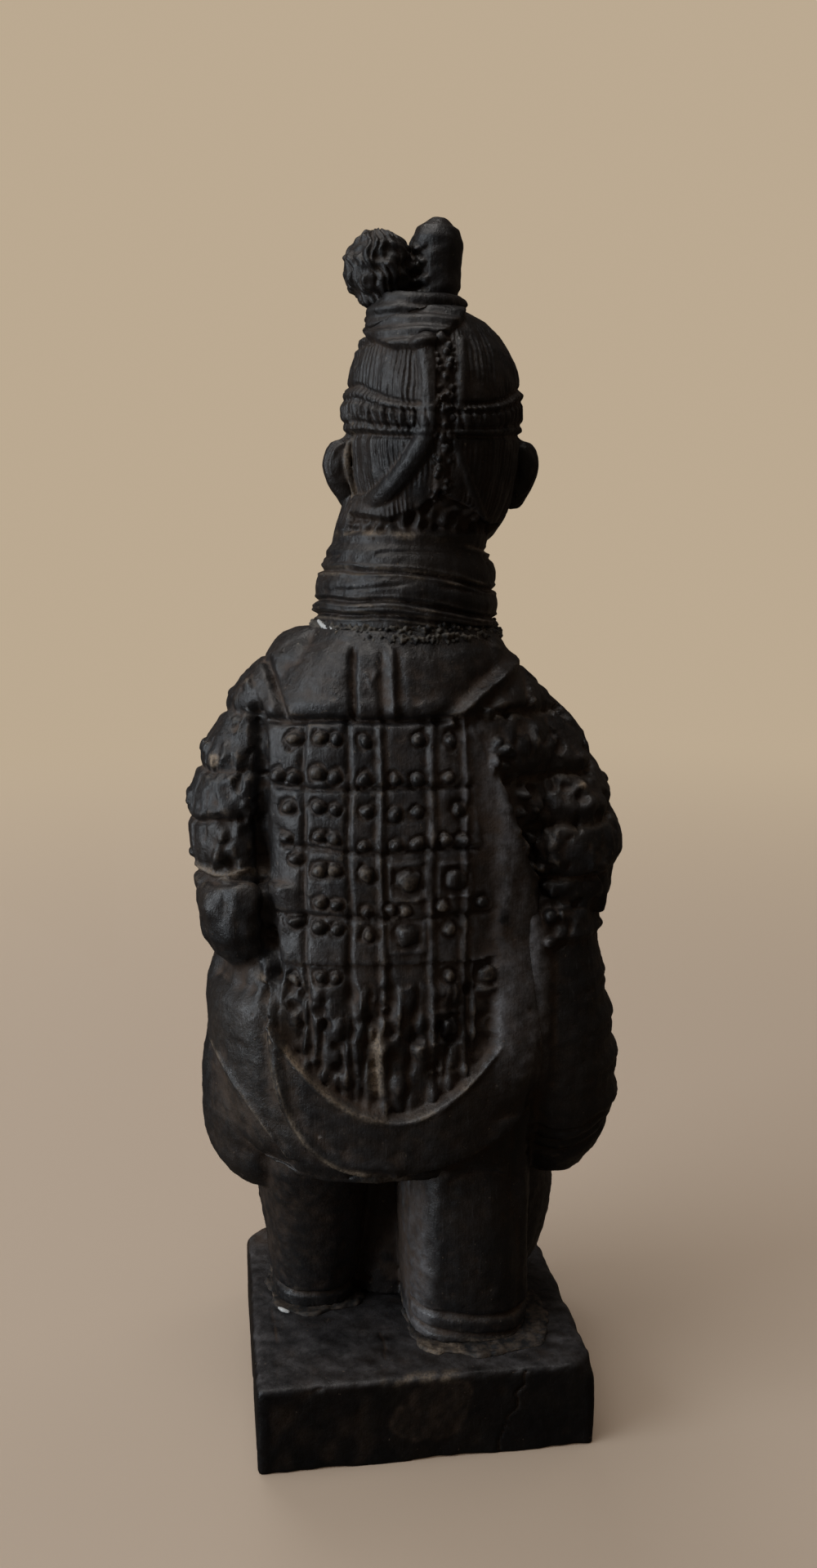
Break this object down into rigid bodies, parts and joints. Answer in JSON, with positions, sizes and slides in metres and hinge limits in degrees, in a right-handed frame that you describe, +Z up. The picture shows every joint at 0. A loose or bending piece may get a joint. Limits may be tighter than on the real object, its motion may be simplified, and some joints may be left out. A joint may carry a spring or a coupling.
{
  "type": "terracotta warrior figurine",
  "caption": "Small black clay figurine of an armoured ancient foot soldier with a hair knot, one forearm across the waist, standing on a square plinth.",
  "frame": {"origin": "middle of the plinth's underside", "axes": "+Z up along the figure, -Y the way it faces, +X towards its left hand"},
  "size_m": [0.0565, 0.0435, 0.149],
  "materials": {
    "plinth_clay": "black low-fired clay, rubbed to a dull sheen, brown dust in its cracks",
    "body_clay": "black low-fired clay, rubbed to a dull sheen, reddish-brown dust in its recesses, tan where edges are worn",
    "head_clay": "black low-fired clay, rubbed to a dull sheen, with tan dust between the strands of hair"
  },
  "bodies": {
    "root": {"plinth": "plinth_clay", "body": "body_clay", "head": "head_clay"}
  },
  "joints": []
}
